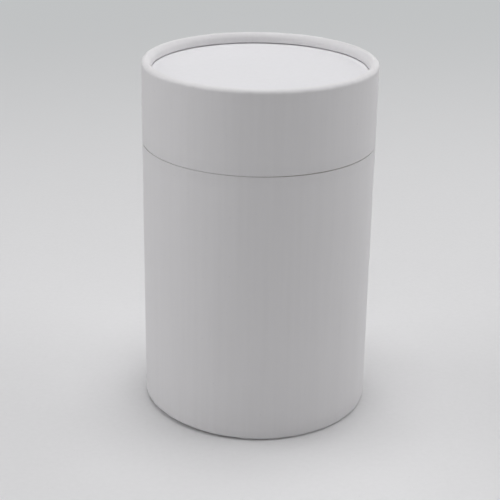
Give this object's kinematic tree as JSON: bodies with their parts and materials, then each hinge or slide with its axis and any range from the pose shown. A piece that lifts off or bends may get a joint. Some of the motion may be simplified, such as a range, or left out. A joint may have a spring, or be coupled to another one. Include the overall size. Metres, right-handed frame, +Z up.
{
  "type": "cardboard tube with lid",
  "caption": "Round white card tube with a flush lift-off lid on an inner neck, rolled top and bottom edges and recessed end discs, for packing dry goods or gifts.",
  "frame": {"origin": "centre of the standing ring of the body's rolled bottom edge", "axes": "+Z up along the tube's axis, from the base to the lid"},
  "size_m": [0.1, 0.1, 0.155],
  "materials": {
    "paper_wrap": "matte",
    "disc_board": "matte",
    "neck_board": "matte"
  },
  "bodies": {
    "body": {"body_tube": "paper_wrap", "base_disc": "disc_board", "neck_tube": "neck_board"},
    "lid": {"lid_tube": "paper_wrap", "lid_disc": "disc_board"}
  },
  "joints": [
    {"name": "lid_lift", "type": "slide", "parent": "body", "child": "lid", "axis": [0, 0, 1], "range_m": [0, 0.06]}
  ]
}
